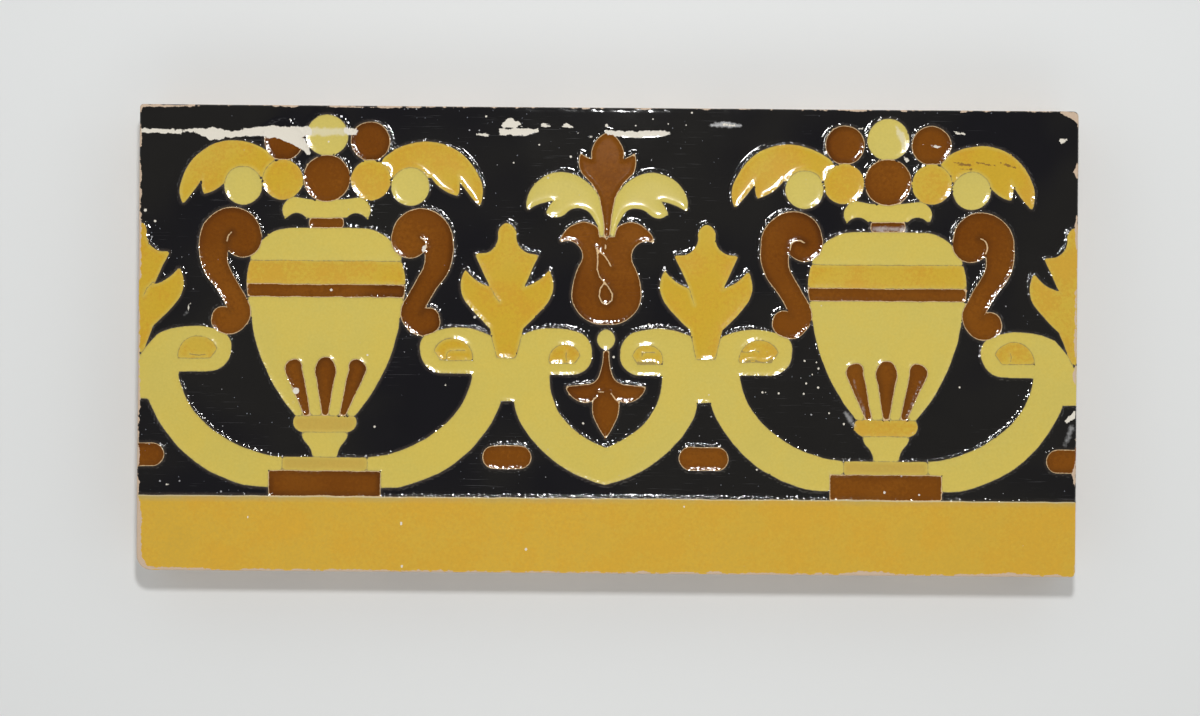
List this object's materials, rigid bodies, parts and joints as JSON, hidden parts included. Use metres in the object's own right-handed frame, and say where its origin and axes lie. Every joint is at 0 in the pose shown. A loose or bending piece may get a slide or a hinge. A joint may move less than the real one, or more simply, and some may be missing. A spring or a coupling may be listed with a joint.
{
  "type": "relief wall tile",
  "caption": "Oblong glazed wall tile with a raised-line frieze of urns of fruit, scrolls, leaves and a palmette over a plain band.",
  "frame": {"origin": "middle of the tile's back, in the plane of its lands", "axes": "+X along the frieze to the reader's right, +Y up the design, +Z out of the glazed face"},
  "size_m": [0.28, 0.139, 0.018],
  "materials": {
    "glazed_clay": "glossy black, straw, ochre and brown glazes in cells between thin clay ridges, with bare pale clay at the back and edges"
  },
  "bodies": {
    "root": {"tile": "glazed_clay"}
  },
  "joints": []
}
